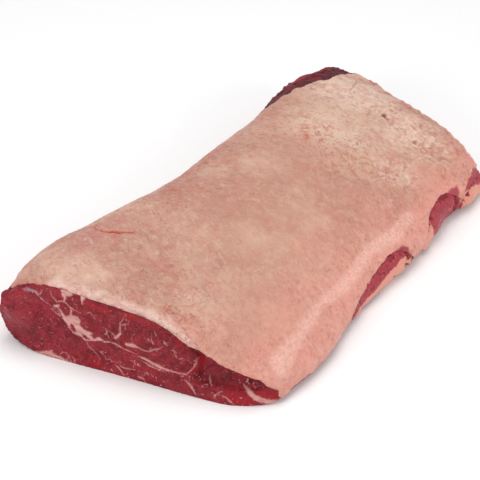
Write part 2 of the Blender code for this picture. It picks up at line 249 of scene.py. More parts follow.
# On the fat cap places are X and Y. The red slit has a half width at each point.
SLIT = (
    (-94, -143, 0.3), (-87, -144, 0.5), (-84, -145, 0.4), (-80, -144, 1.4), (-74, -142, 1.7),
    (-68, -141, 1.2), (-64, -138.5, 0.8), (-57, -135, 0.6),
)
# Pits: X, Y, radius and depth. Each is painted dark, as painted shade that is darker the deeper the pit, and
# one as deep as the value below them is darkest.
PITS = (
    (21, 168, 3.4, 2.8),
    (26, 166, 2.6, 1.8),
    (18, 164, 2, 1.4),
    (38, 160, 2.2, 1),
    (63, 153, 3.4, 2),
    (57, 146, 5, 0.9),
    (70, 160, 3, 1),
)
DARKEST_PIT = 2.6
# Flaps of skin, higher on their front side: X, Y, radius and height.
FLAPS = (
    (13, 190, 5.5, 1.8),
    (17, 178, 3.6, 1.2),
    (30, 178, 6, 1),
    (72, 166, 6, 1.5),
    (82, 158, 4, 1.2),
    (50, 158, 5, 1),
    (86, 176, 4.5, 1.2),
    (64, 160, 7, 1.2),
)
# Edges of torn skin that stand up: X, Y and half width at each point.
RIDGES = (
    ((75, 128, 0.5), (78, 140, 0.9), (82, 148, 0.9), (91, 156, 0.5)),
    ((75, 119, 0.5), (77, 128, 0.8), (82, 138, 0.8), (90, 143, 0.5)),
    ((76, 69, 0.4), (78, 78, 0.8), (81, 88, 0.9), (82, 104, 0.9), (84, 112, 0.4)),
    ((51, 96, 0.4), (60, 87, 0.8), (70, 91, 0.9), (73, 106, 0.7), (72, 114, 0.4)),
    ((-43, 159, 0.4), (-36, 158, 0.7), (-29, 156, 0.4)),
    ((3, 186, 0.6), (13, 194, 1.1), (22, 184, 1.1), (18, 172, 0.7)),
    ((55, 150, 0.6), (63, 161, 1.1), (68, 172, 1), (75, 171, 1), (74, 159, 0.9), (65, 146, 0.5)),
    ((62, 62, 0.4), (65, 79, 0.8), (70, 89, 0.8), (77, 97, 0.8), (82, 110, 0.4)),
    ((8, -32, 0.3), (15, -34, 0.6), (21, -36, 0.4)),
    ((12, -108, 0.3), (19, -113, 0.6), (26, -117, 0.6), (28, -125, 0.3)),
    ((31, -157, 0.3), (38, -164, 0.6), (40, -173, 0.4)),
    ((30, -154, 0.5), (31, -148, 0.7)),
    ((42, -148, 0.4), (43, -142, 0.6), (46, -144, 0.4)),
    ((87, 92, 0.4), (85, 104, 0.7), (86, 115, 0.7), (92, 121, 0.5)),
    ((66, 100, 0.4), (62, 110, 0.7), (66, 118, 0.6), (72, 122, 0.4)),
    ((58, 78, 0.4), (62, 82, 0.7), (68, 80, 0.4)),
)
# Thin red cuts and folds in the fat.
RED_LINES = (
    ((33, 160, 0.3), (40, 158, 0.5), (48, 153, 0.3)),
    ((39, 69, 0.3), (46, 66, 0.5), (55, 62, 0.4)),
    ((-25, 178, 0.3), (-26, 188, 0.5), (-30, 207, 0.6)),
    ((23, -195, 0.3), (32, -197, 0.5), (40, -201, 0.5), (47, -203, 0.4), (56, -204, 0.3)),
    ((-20, 86, 0.2), (-12, 90, 0.4), (-6, 97, 0.3)),
    ((-50, 84, 0.2), (-42, 88, 0.4), (-34, 88, 0.2)),
)
# Torn and curly parts: X, Y, half width and half length.
TORN_PARTS = ((66, 98, 26, 16), (62, 152, 28, 24), (22, 178, 20, 22), (88, 160, 16, 22), (26, 106, 9, 12))
# Soft spots: X, Y, half width, half length and strength. First, where the fat's skin lies smooth.
SMOOTH_PARTS = (
    (30, -50, 64, 90, 1),
    (70, -140, 44, 50, 0.95),
    (97, 112, 16, 26, 1),
    (0, 20, 40, 50, 0.8),
    (-30, 100, 30, 30, 0.4),
)
# Thick dry fat, thin fat, many vessels and brown specks.
CREAM_PARTS = (
    (-26, 182, 60, 48, 1.5),
    (46, 160, 50, 40, 1.2),
    (0, 115, 70, 46, 1),
    (72, 104, 30, 30, 0.9),
    (-75, -200, 52, 26, 0.85),
    (112, -160, 11, 20, 0.15),
    (-40, -110, 44, 28, 0.5),
    (-35, 20, 26, 30, 0.6),
    (-60, 60, 26, 40, 0.4),
    (30, -168, 26, 16, 0.5),
)
PINK_PARTS = (
    (-86, -150, 20, 46, 0.9),
    (-60, -120, 26, 22, 0.4),
    (-82, -60, 14, 40, 0.6),
    (-85, 20, 14, 60, 0.7),
    (-72, 100, 12, 50, 0.5),
    (100, 110, 16, 34, 0.4),
    (110, 194, 13, 30, 0.9),
    (20, 214, 70, 6, 0.5),
    (31, 165, 4.5, 4.5, 1),
    (-56, -40, 20, 26, 0.4),
    (40, -150, 20, 14, 0.3),
)
VESSEL_PARTS = (
    (-20, 92, 46, 26, 1),
    (30, 80, 26, 30, 0.8),
    (70, 98, 40, 22, 0.6),
    (-36, 170, 30, 14, 0.5),
    (-66, -70, 34, 60, 0.6),
    (24, -190, 34, 18, 1),
    (20, -150, 40, 24, 0.5),
    (100, 170, 26, 30, 0.8),
    (60, 170, 30, 16, 0.5),
)
SPECK_PARTS = ((-31, -11, 9, 10, 1), (-31, 21, 9, 12, 0.6))
# Where the fat is off the lean at the back on the chine side: X and Y of its edge.
BARE_EDGE = (
    (-92, 112), (-88, 121), (-85, 129), (-81, 138), (-78, 147), (-75, 157), (-72, 166),
    (-68, 174), (-63, 182), (-57, 190), (-54, 201), (-50, 212), (-47, 224),
)

# The rump cut's line on the table is Y = CUT_Y + CUT_SLANT * X. Points up to CUT_REACH behind it are at
# the cut, and the whole cut is in front of RUMP_END. These are in metres.
CUT_Y = -0.2225
CUT_SLANT = 0.2
CUT_REACH = 0.014
RUMP_END = -0.1
# The fat's back edge runs forward by this much for each millimetre towards the flank side.
BACK_SLANT = 0.196

# Edges of a solid that are sharper than this are rims, in radians.
RIM_ANGLE = math.radians(45)
# Rounds of smoothing near a rim and away from it, and cuts in each edge of the rump cut for finer points.
RIM_ROUNDS = 2
OPEN_ROUNDS = 24
RUMP_CUTS = 3
# Keeps a length that something is divided by above nothing.
SMALLEST = 1e-9
# What a distance in millimetres starts at, and what it is where the line or patch isn't on that face.
FAR_AWAY = 1000.0
NOT_HERE = 50.0
# The gap that is left between the lean and the fat.
LEFT_OPEN = 0.05 * MM
# How far the fat's lower edge stays above the table.
FAT_LIFT = 0.3 * MM

# Relief of the fat, in millimetres.
SLIT_DEPTH = 1.3
RED_LINE_DEPTH = 0.5
RIDGE_HEIGHT = 0.8
VALLEY_DEPTH = 0.3
FLAKE_HEIGHT = 0.6
BACK_LUMPS = 1.2
BARE_LUMPS = 1.6
WINDOW_DEPTH = 1.0
# Relief of the lean, in millimetres.
GRAIN_HEIGHT = 0.18
FIBRE_HEIGHT = 0.4
EYE_STEP = 1.7
RECESS_DEPTH = 3.0
SEAM_DEPTH = 0.8
MARBLING_HEIGHT = 0.3
LEDGE_HEIGHT = 1.0
FOOT_LUMPS = 1.5
STRIP_LUMPS = 2.0

# Tones of the fat beside the colours in its settings. The darker cut fat, fold, strand, wrinkle, torn and pit
# tones are painted shade in a hollow, and the paler cut fat, fold, strand and wrinkle tones are painted light
# on what stands up; the pale torn tone is dry skin with painted light.
DRY_CREAM = "#EDD2C0"
MOTTLE = "#C06850"
THIN_RED = "#BE5A50"
CUT_FAT_SHADE = "#C98478"
CUT_FAT_LIT = "#ECD6C8"
FOLD_SHADE = "#A9614E"
FOLD_LIT = "#E4C6B4"
STRAND_SHADE = "#B06A58"
STRAND_LIT = "#E6CDBC"
WRINKLE_SHADE = "#A04E3C"
WRINKLE_LIT = "#E8CDBC"
TORN_SHADE_AND_RED_CUTS = "#A85A48"
TORN_DRY_AND_LIT = "#E9D0BF"
# Painted highlight on the flank roll.
ROLL_PAINTED_HIGHLIGHT = "#F2C2B2"
SPECK = "#B9762F"
PIT_SHADE = "#7A3526"
# Tones of the meat that shows through the fat, and of the lean.
DRY_MEAT = "#34080E"
MEAT_THREAD = "#A05058"
FLANK_LOW = "#8A2632"
# The meat is painted lighter, as a wet highlight, on the smoother patches, and darker on the rougher ones.
MEAT_LOW = "#5E121A"
MEAT_WET_HIGHLIGHT = "#9A2E36"
# The fibre tones are painted shade between the fibres and painted light on the fibres that stand up in the
# bump.
FIBRE_SHADE = "#560E18"
FIBRE_LIT = "#A8414A"
MARBLING_LOW = "#B8716E"
MARBLING_TOP = "#DDB4AA"
FLANK_FAT = "#DE9784"

# Lights: name, place, width across and strength.
LIGHTS = (
    ("Key", (-0.1, 0.08, 1.45), 1.0, 7.0),
    ("Side", (1.1, 0.1, 0.6), 0.45, 3.0),
    ("Front", (-0.45, -1.35, 0.6), 0.9, 6.0),
)
WORLD_STRENGTH = 0.62
FLOOR_HALF = 6.0


def linear(code):
    """An sRGB hex colour as linear values."""
    parts = [int(code[i : i + 2], 16) / 255 for i in (1, 3, 5)]
    return tuple(p / 12.92 if p <= 0.04045 else ((p + 0.055) / 1.055) ** 2.4 for p in parts)


def smooth_step(low, high, value):
    share = np.clip((value - low) / (high - low), 0, 1)
    return share * share * (3 - 2 * share)


def noise_field(points, size, seed=0.0):
    """Smooth noise between about -1 and 1. size is the width of its lumps, one value or one for each axis."""
    scaled = points / np.array(size) + seed
    return np.array([noise.noise(point) for point in scaled.tolist()])


def noise_vectors(points, size, seeds):
    """Noise in two or three directions, one seed for each."""
    return np.stack([noise_field(points, size, seed) for seed in seeds], axis=1)


def line_distance(flat, line):
    """Millimetres from each flat point to the border of a drawn line, negative inside it."""
    best = np.full(len(flat), FAR_AWAY)
    for start, end in zip(line, line[1:]):
        start, end = np.array(start, float), np.array(end, float)
        step = end[:2] - start[:2]
        share = np.clip((flat - start[:2]) @ step / (step @ step + SMALLEST), 0, 1)
        away = np.linalg.norm(flat - start[:2] - share[:, None] * step, axis=1)
        best = np.minimum(best, away - start[2] - share * (end[2] - start[2]))
    return best


def patch_distance(flat, outline):
    """Millimetres from each flat point to an outline, negative inside it."""
    ring = [(*point, 0.0) for point in (*outline, outline[0])]
    away = line_distance(flat, ring)
    inside = np.zeros(len(flat), bool)
    for (x1, y1, _), (x2, y2, _) in zip(ring, ring[1:]):
        between = (y1 > flat[:, 1]) != (y2 > flat[:, 1])
        crossing = x1 + (flat[:, 1] - y1) * (x2 - x1) / (y2 - y1 + SMALLEST)
        inside ^= between & (flat[:, 0] < crossing)
    return np.where(inside, -away, away)


def nearest_of(flat, lines=(), patches=()):
    """The least distance to any of the lines and patches."""
    found = [line_distance(flat, line) for line in lines]
    found += [patch_distance(flat, patch) for patch in patches]
    return np.min(found, axis=0)


def blobs(flat, spots):
    """A soft field of round spots: centre, half width, half length and strength, which is 1 if left out."""
    total = np.zeros(len(flat))
    for x, y, wide, long, *strength in spots:
        away = ((flat[:, 0] - x) / wide) ** 2 + ((flat[:, 1] - y) / long) ** 2
        total = np.maximum(total, (strength or [1.0])[0] * np.exp(-away))
    return total


def get_points(mesh):
    points = np.empty(len(mesh.vertices) * 3)
    mesh.vertices.foreach_get("co", points)
    return points.reshape(-1, 3)


def get_normals(mesh):
    normals = np.empty(len(mesh.vertices) * 3)
    mesh.vertex_normals.foreach_get("vector", normals)
    return normals.reshape(-1, 3)


def set_points(mesh, points):
    mesh.vertices.foreach_set("co", points.ravel())
    mesh.update()


def put_marks(mesh, **marks):
    """Writes values at the mesh's points, by name, for its material to read."""
    for name, values in marks.items():
        mesh.attributes.new(name, "FLOAT", "POINT").data.foreach_set("value", values.astype(np.float32))


def remeshed(node, name, grid):
    """A copy of a solid, drawn again with points at an even spacing."""
    piece = bpy.data.objects.new(name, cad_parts[node].data.copy())
    bpy.context.scene.collection.objects.link(piece)
    remesh = piece.modifiers.new("Even points", "REMESH")
    remesh.mode = "VOXEL"
    remesh.voxel_size = grid
    graph = bpy.context.evaluated_depsgraph_get()
    even = bpy.data.meshes.new_from_object(piece.evaluated_get(graph))
    piece.modifiers.clear()
    piece.data = even
    even.name = name
    return piece


def refined(mesh, wanted, cuts):
    """Divides the edges whose two ends are wanted."""
    shape = bmesh.new()
    shape.from_mesh(mesh)
    edges = [e for e in shape.edges if wanted[e.verts[0].index] and wanted[e.verts[1].index]]
    bmesh.ops.subdivide_edges(shape, edges=edges, cuts=cuts, use_grid_fill=True)
    shape.to_mesh(mesh)
    shape.free()


def smoothed(mesh, points, rounds):
    """The points after that many rounds of moving each half way to the middle of its neighbours."""
    ends = np.empty(len(mesh.edges) * 2, np.int32)
    mesh.edges.foreach_get("vertices", ends)
    one, two = ends.reshape(-1, 2).T
    count = len(points)
    neighbours = np.bincount(one, minlength=count) + np.bincount(two, minlength=count)
    for _ in range(rounds):
        middle = np.empty_like(points)
        for axis in range(3):
            sums = np.bincount(one, points[two, axis], count) + np.bincount(two, points[one, axis], count)
            middle[:, axis] = sums / neighbours
        points = (points + middle) / 2
    return points


def rim_places(node):
    """Places every half millimetre along the sharp edges of a solid."""
    shape = bmesh.new()
    shape.from_mesh(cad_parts[node].data)
    bmesh.ops.remove_doubles(shape, verts=shape.verts, dist=MM / 100)
    rim = []
    for edge in shape.edges:
        if len(edge.link_faces) == 2 and edge.calc_face_angle() > RIM_ANGLE:
            start, end = (vert.co.copy() for vert in edge.verts)
            steps = max(1, round(edge.calc_length() / (0.5 * MM)))
            rim += [start.lerp(end, i / steps) for i in range(steps)]
    shape.free()
    return np.array(rim)


def nearest_place(places, points):
    """The nearest of some places for each point, and how far it is."""
    tree = KDTree(len(places))
    for i, place in enumerate(places.tolist()):
        tree.insert(place, i)
    tree.balance()
    hits = [tree.find(point) for point in points.tolist()]
    return np.array([hit[0] for hit in hits]), np.array([hit[2] for hit in hits])


def surface_of(mesh):
    points = [tuple(p) for p in get_points(mesh).tolist()]
    return BVHTree.FromPolygons(points, [tuple(face.vertices) for face in mesh.polygons])


def nearest_on(surface, points):
    """The nearest places of a surface, and how far they are."""
    hits = [surface.find_nearest(point) for point in points.tolist()]
    return np.array([hit[0] for hit in hits]), np.array([hit[3] for hit in hits])


def even_out(mesh, grid, rim):
    """Takes the flat facets of the solid out, but keeps these rims."""
    light = smoothed(mesh, get_points(mesh), RIM_ROUNDS)
    strong = smoothed(mesh, light, OPEN_ROUNDS)
    place, to_rim = nearest_place(rim, light)
    share = smooth_step(1.5 * MM, 7 * MM, to_rim)[:, None]
    points = light + (strong - light) * share
    on_rim = smooth_step(1.5 * grid, 0.75 * grid, to_rim)[:, None]
    set_points(mesh, points + (place - points) * on_rim)
    return to_rim


def behind_the_cut(points):
    """How far each point is behind the line of the rump cut."""
    return points[:, 1] - CUT_Y - CUT_SLANT * points[:, 0]


def add_node(tree, kind, inputs=None, **settings):
    """Adds a node. inputs holds a value, or an output to link, for each of its sockets."""
    node = tree.nodes.new(kind)
    for key, value in settings.items():
        setattr(node, key, value)
    for key, value in (inputs or {}).items():
        if isinstance(value, bpy.types.NodeSocket):
            tree.links.new(value, node.inputs[key])
        else:
            node.inputs[key].default_value = value
    return node


def new_material(name, surface):
    """A material, its node tree and its shader. surface holds the shader's constant values by socket."""
    material = bpy.data.materials.new(name)
    material.use_nodes = True
    shader = material.node_tree.nodes["Principled BSDF"]
    for socket, value in surface.items():
        shader.inputs[socket].default_value = value
    return material, material.node_tree, shader


def fields_of(tree, marks, noises):
    """What a material is worked out from: the marks on its mesh, and fields of noise.

    Each noise has its lumps' width in millimetres, detail, roughness and distortion. It may also have a
    scale for each axis, where a small one makes long lumps, and a turn about Z in degrees.
    """
    where = add_node(tree, "ShaderNodeTexCoord").outputs["Object"]
    fields = {}
    for name in marks:
        fields[name] = add_node(tree, "ShaderNodeAttribute", attribute_name=name).outputs["Fac"]
    for name, (width, detail, roughness, distortion, *stretch) in noises.items():
        place = where
        if stretch:
            scale, turn = stretch
            turned = {"Vector": where, "Rotation": (0.0, 0.0, math.radians(turn))}
            turned = add_node(tree, "ShaderNodeMapping", turned).outputs[0]
            place = add_node(tree, "ShaderNodeMapping", {"Vector": turned, "Scale": scale}).outputs[0]
        inputs = {"Vector": place, "Scale": 1 / (width * MM), "Detail": detail}
        inputs |= {"Roughness": roughness, "Distortion": distortion}
        fields[name] = add_node(tree, "ShaderNodeTexNoise", inputs).outputs["Fac"]
    return SimpleNamespace(**fields)


def share_of(tree, value, low, high, most=1.0, least=0.0, times=()):
    """Goes from least to most as a value goes from low to high, then is multiplied by each of times."""
    inputs = {"Value": value, "From Min": low, "From Max": high, "To Min": least, "To Max": most}
    share = add_node(tree, "ShaderNodeMapRange", inputs).outputs["Result"]
    for factor in times:
        share = add_node(tree, "ShaderNodeMath", {0: share, 1: factor}, operation="MULTIPLY").outputs[0]
    return share


def weighed_sum(tree, *parts):
    """Adds values up, each multiplied by its weight."""
    total = 0.0
    for value, weight in parts:
        inputs = {0: value, 1: weight, 2: total}
        total = add_node(tree, "ShaderNodeMath", inputs, operation="MULTIPLY_ADD").outputs[0]
    return total


def line_share(tree, field, middle, wide, narrow):
    """Thin wandering lines where a field passes its middle: full within narrow of it, none beyond wide."""
    away = weighed_sum(tree, (field, 1.0), (middle, -1.0))
    away = add_node(tree, "ShaderNodeMath", {0: away}, operation="ABSOLUTE").outputs[0]
    return share_of(tree, away, wide, narrow)


def layered(tree, base, *layers):
    """Lays colours over a base colour, one after the other.

    Each layer has a colour, its greatest share, a value, what the value is where the layer starts and where
    it is full, and any further shares to multiply by. A colour is a hex code, a setting or an output.
    """
    for colour, most, value, low, high, *times in layers:
        inputs = {0: share_of(tree, value, low, high, most, times=times), 6: base, 7: colour}
        for socket in (6, 7):
            if isinstance(inputs[socket], str):
                inputs[socket] = linear(inputs[socket])
            if not isinstance(inputs[socket], bpy.types.NodeSocket):
                inputs[socket] = (*inputs[socket], 1.0)
        base = add_node(tree, "ShaderNodeMix", inputs, data_type="RGBA").outputs[2]
    return base


def colour_setting(name, description, code):
    return FloatVectorProperty(
        name=name, description=description, default=linear(code), subtype="COLOR", size=3, min=0.0, max=1.0
    )


def length_setting(name, description, default):
    return FloatProperty(
        name=name, description=description, default=default, min=0.0, subtype="DISTANCE", unit="LENGTH"
    )


class FatSettings(bpy.types.PropertyGroup):
    grid: length_setting("Grid", "Spacing of the points that the fat is drawn with", 0.0013)
    lumps: length_setting("Lumps", "Height of the soft lumps on the fat", 0.0011)
    wrinkles: length_setting("Wrinkles", "Depth of the fine creases that run across the fat", 0.0006)
    torn: length_setting("Torn ridges", "Height of the curly ridges where the fat was torn", 0.0026)
    colour: colour_setting("Fat", "Colour of the fat's skin over the back", "#C08C77")
    cream: colour_setting("Cream fat", "Colour of the thickest and driest fat", "#D8B299")
    rosy: colour_setting("Rosy fat", "Colour of the wet fat of the flank roll", "#E29B8B")
    pink: colour_setting("Pink fat", "Colour where the lean shows through thin fat", "#C57F77")
    cut: colour_setting("Cut fat", "Colour of freshly cut fat", "#E5C2B5")
    blood: colour_setting("Blood", "Colour of small vessels and of the slit", "#B84C3A")
    bare: colour_setting("Bare meat", "Colour of the meat where the fat is off", "#7A1424")
    window: colour_setting("Flank meat", "Colour of the meat in the windows of the flank side", "#AE444E")


class LeanSettings(bpy.types.PropertyGroup):
    grid: length_setting("Grid", "Spacing of the points that the lean is drawn with", 0.0020)
    lumps: length_setting("Lumps", "Height of the soft lumps of the cut muscle", 0.0005)
    colour: colour_setting("Lean", "Colour of the outer muscles", "#8C2530")
    eye: colour_setting("Eye muscle", "Colour of the eye muscle, which is browner", "#7A2026")
    # Dark meat is also the colour of the painted shade under the fat's edge on the right.
    dark: colour_setting("Dark meat", "Colour of the darkest meat", "#6A1620")
    bright: colour_setting("Wet meat", "Colour of freshly torn wet meat", "#A01C26")
    window: colour_setting("Flank meat", "Colour of the meat in the windows of the flank side", "#AE444E")
    fat: colour_setting("Marbling", "Colour of the fat between the muscles", "#CF9A92")
    silver: colour_setting("Silverskin", "Colour of the thin bluish sheet over a muscle", "#BA959B")


class StageSettings(bpy.types.PropertyGroup):
    floor: colour_setting("Floor", "Colour of the floor", "#FFFFFF")
    light: FloatProperty(name="Light", description="Strength of the soft lights", default=1.0, min=0.0)


def skin_folds(points, bent):
    """Soft folds and longer creases of the fat's skin, each 1 at its deepest."""
    folds = noise_field(bent, (11 * MM, 7 * MM, 8 * MM), 40.0) + 0.4 * noise_field(points, 4 * MM, 41.0)
    folds = np.clip(1 - np.abs(folds) / 0.30, 0, 1)
    folds *= smooth_step(-0.25, 0.25, noise_field(points, 22 * MM, 42.0))
    creases = noise_field(bent, (20 * MM, 5.5 * MM, 9 * MM), 3.0)
    creases = np.clip(1 - np.abs(creases) / 0.13, 0, 1)
    creases *= smooth_step(-0.1, 0.35, noise_field(points, 26 * MM, 4.0))
    return folds, creases


def torn_skin(points, bent, flat, wiggly, height):
    """How far torn skin stands up, and how pale it is: above 0 on its edges, pale from dry skin and painted
    light where it stands up, and below 0 beside them, as painted shade.
    """
    torn = blobs(flat, TORN_PARTS)
    curly = noise_field(bent, (9 * MM, 5 * MM, 7 * MM), 7.0)
    curly = 1 - 2.2 * np.abs(curly + 0.35 * noise_field(points, 3.5 * MM, 8.0))
    flakes = noise_field(points, (3.6 * MM, 2.4 * MM, 3 * MM), 51.0)
    move = height * torn * curly * smooth_step(-0.15, 0.3, noise_field(points, 12 * MM, 9.0))
    move += FLAKE_HEIGHT * MM * torn * flakes
    # The drawn edges are uneven and broken, with a valley beside them.
    ridge_mm = nearest_of(wiggly, RIDGES) + 0.8 * noise_field(points, 3 * MM, 49.0)
    broken = smooth_step(-0.25, 0.25, noise_field(points, 7 * MM, 50.0))
    ridge = smooth_step(0.9, -0.6, ridge_mm) * broken
    valley = np.exp(-(((ridge_mm - 1.8) / 0.9) ** 2)) * broken
    move += (RIDGE_HEIGHT * ridge - VALLEY_DEPTH * valley) * MM
    # The paleness follows the relief: painted light on the ridges, curls and flakes that stand up, and
    # painted shade in the valleys and hollows.
    pale = 0.4 * ridge - 0.3 * valley + torn * (0.4 * curly + flakes - 0.1)
    return move, pale


def pits_and_flaps(points, wiggly):
    """How far the pits and the flaps move the skin, and how dark the pits' painted shade is, darker where
    they are deeper.
    """
    move, dark = np.zeros(len(points)), np.zeros(len(points))
    for x, y, radius, deep in PITS:
        away = np.linalg.norm(wiggly - (x, y), axis=1) / radius
        move -= deep * MM * np.exp(-(away**2))
        dark = np.maximum(dark, deep / DARKEST_PIT * np.exp(-(away**4)))
    for x, y, radius, high in FLAPS:
        away = (wiggly - (x, y)) / radius
        lifted = np.exp(-((away**2).sum(axis=1) ** 2)) * smooth_step(0.9, -0.9, away[:, 1])
        move += high * MM * lifted
    return move, dark


def bare_parts(points, normals, flat):
    """Where the lean shows through the fat: the strip at the back, the windows, and the lobes at the cut."""
    edge_x = np.interp(flat[:, 1], [y for _, y in BARE_EDGE], [x for x, _ in BARE_EDGE])
    edge_x += 3.0 * noise_field(points, 7 * MM, 12.0) + 1.2 * noise_field(points, 2.5 * MM, 43.0)
    bare = smooth_step(-0.6, 0.6, edge_x - flat[:, 0]) * smooth_step(104, 112, flat[:, 1])
    side = points[:, 1:] / MM + 1.2 * noise_field(points, 5 * MM, 19.0)[:, None]
    windows = smooth_step(0.7, -0.5, nearest_of(side, (), WINDOWS)) * smooth_step(0.25, 0.45, normals[:, 0])
    front = points[:, (0, 2)] / MM + 0.6 * noise_field(points, 3 * MM, 44.0)[:, None]
    lobes = smooth_step(0.4, -0.4, nearest_of(front, (), FAT_LEAN_LOBES))
    return bare, windows, lobes * (behind_the_cut(points) < CUT_REACH)


def tear_edges(points, flat, to_rim, to_cut):
    """Makes the fat's edges ragged, more so at the back and less at the rump cut, and lets two parts hang."""
    ragged = smooth_step(7 * MM, 1 * MM, to_rim) * (0.8 + 0.9 * smooth_step(120, 200, flat[:, 1]))
    ragged *= smooth_step(0, 30 * MM, to_cut + 9 * MM) * MM
    tears = noise_vectors(points, 6 * MM, (13, 14, 15)) + 0.5 * noise_vectors(points, 2.6 * MM, (16, 17, 18))
    moves = tears * ragged[:, None]
    for y, long, lower in LOWER_EDGE:
        near = np.exp(-(((flat[:, 1] - y) / long) ** 2)) * smooth_step(14 * MM, 0, to_rim)
        moves[:, 2] -= lower * MM * near * smooth_step(80, 100, flat[:, 0])
    return moves


def shape_fat(piece, settings):
    """Gives the fat cap its lumps, creases, pits, flaps and ragged edges, and marks its colours."""
    mesh = piece.data
    lean = surface_of(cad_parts["lean"].data)
    # Only the edges that lie on the lean stay sharp.
    rim = rim_places("fat_cap")
    rim = rim[nearest_on(lean, rim)[1] < 1.5 * MM]
    to_rim = even_out(mesh, settings.grid, rim)
    points, normals = get_points(mesh), get_normals(mesh)
    to_cut = nearest_place(rim[behind_the_cut(rim) < CUT_REACH], points)[1]
    # The side that lies on the lean keeps its shape.
    outer = smooth_step(2.0 * MM, 3.5 * MM, nearest_on(lean, points)[1])
    flat = points[:, :2] / MM
    wiggly = flat + 1.2 * noise_vectors(points, 4 * MM, (10, 11))
    # Folds wander up to 9 mm along the loin.
    bent = points + 9 * MM * noise_field(points, 30 * MM, 5.0)[:, None] * (0, 1, 0)
    rough = 1 - 0.75 * blobs(flat, SMOOTH_PARTS)

    lumps = noise_field(points, 34 * MM, 1.0) + 0.5 * rough * noise_field(points, 14 * MM, 2.0)
    move = settings.lumps * lumps
    folds, creases = skin_folds(points, bent)
    fine = noise_field(bent, (6 * MM, 2.8 * MM, 5 * MM), 6.0)
    move += settings.wrinkles * rough * (0.35 * fine - 0.8 * creases - 0.8 * folds)
    torn_move, pale = torn_skin(points, bent, flat, wiggly, settings.torn)
    pit_move, pits = pits_and_flaps(points, wiggly)
    slit = line_distance(wiggly, SLIT)
    red = nearest_of(wiggly, RED_LINES)
    move += torn_move + pit_move - SLIT_DEPTH * MM * smooth_step(0.9, -0.4, slit)
    move -= RED_LINE_DEPTH * MM * smooth_step(1.0, -0.3, red)
    bare, windows, lobes = bare_parts(points, normals, flat)
    back = smooth_step(190, 208, flat[:, 1] + BACK_SLANT * flat[:, 0])
    move += BACK_LUMPS * MM * back * noise_field(points, 4.5 * MM, 52.0)
    move += BARE_LUMPS * MM * bare * (noise_field(points, 12 * MM, 45.0) - 0.7)
    move -= WINDOW_DEPTH * MM * windows
    points = points + normals * (move * outer)[:, None] + tear_edges(points, flat, to_rim, to_cut)
    points[:, 2] = np.maximum(points[:, 2], FAT_LIFT)
    set_points(mesh, points)

    # The freshly cut band along the rump cut is 4 to 13 mm wide and ends before the flank side.
    cut = smooth_step(13 * MM, 4 * MM, to_cut + 4 * MM * noise_field(points, 9 * MM, 46.0))
    cut *= smooth_step(62, 44, flat[:, 0])
    cut = np.maximum(cut, smooth_step(0.6, 0.85, normals[:, 1]) * outer)
    front_right = smooth_step(50, 90, flat[:, 0]) * smooth_step(0.2, 0.6, -normals[:, 1])
    rosy = np.maximum(smooth_step(0.22, 0.62, normals[:, 0]), 0.7 * front_right)
    pink = np.maximum(blobs(flat, PINK_PARTS), 0.8 * smooth_step(0.35, 0.8, -normals[:, 0]))
    pink += 0.9 * back * smooth_step(-0.2, 0.4, noise_field(points, 9 * MM, 53.0))
    pink += 0.7 * smooth_step(9 * MM, 2 * MM, to_rim) * smooth_step(-50, -70, flat[:, 0])
    put_marks(
        mesh,
        rough=rough,
        cut=cut,
        rosy=rosy,
        pink=pink,
        cream=blobs(flat, CREAM_PARTS),
        # Where painted shade darkens the folds and creases of the skin.
        crease=np.maximum(creases, folds) * rough,
        # Above 0: pale dry torn edges with painted light. Below 0: painted shade beside them, and the red
        # cuts.
        ridge=np.minimum(pale, 1 - 1.9 * smooth_step(0.9, -0.3, red)),
        # A painted highlight along the flank roll.
        shine=smooth_step(3.5, -2.5, line_distance(flat, ROLL_HIGHLIGHT_LINE)),
        pits=pits,
        slit=slit,
        bare=bare,
        window=np.maximum(windows, lobes),
        vessels=blobs(flat, VESSEL_PARTS),
        specks=blobs(flat, SPECK_PARTS),
    )
    mesh.shade_smooth()


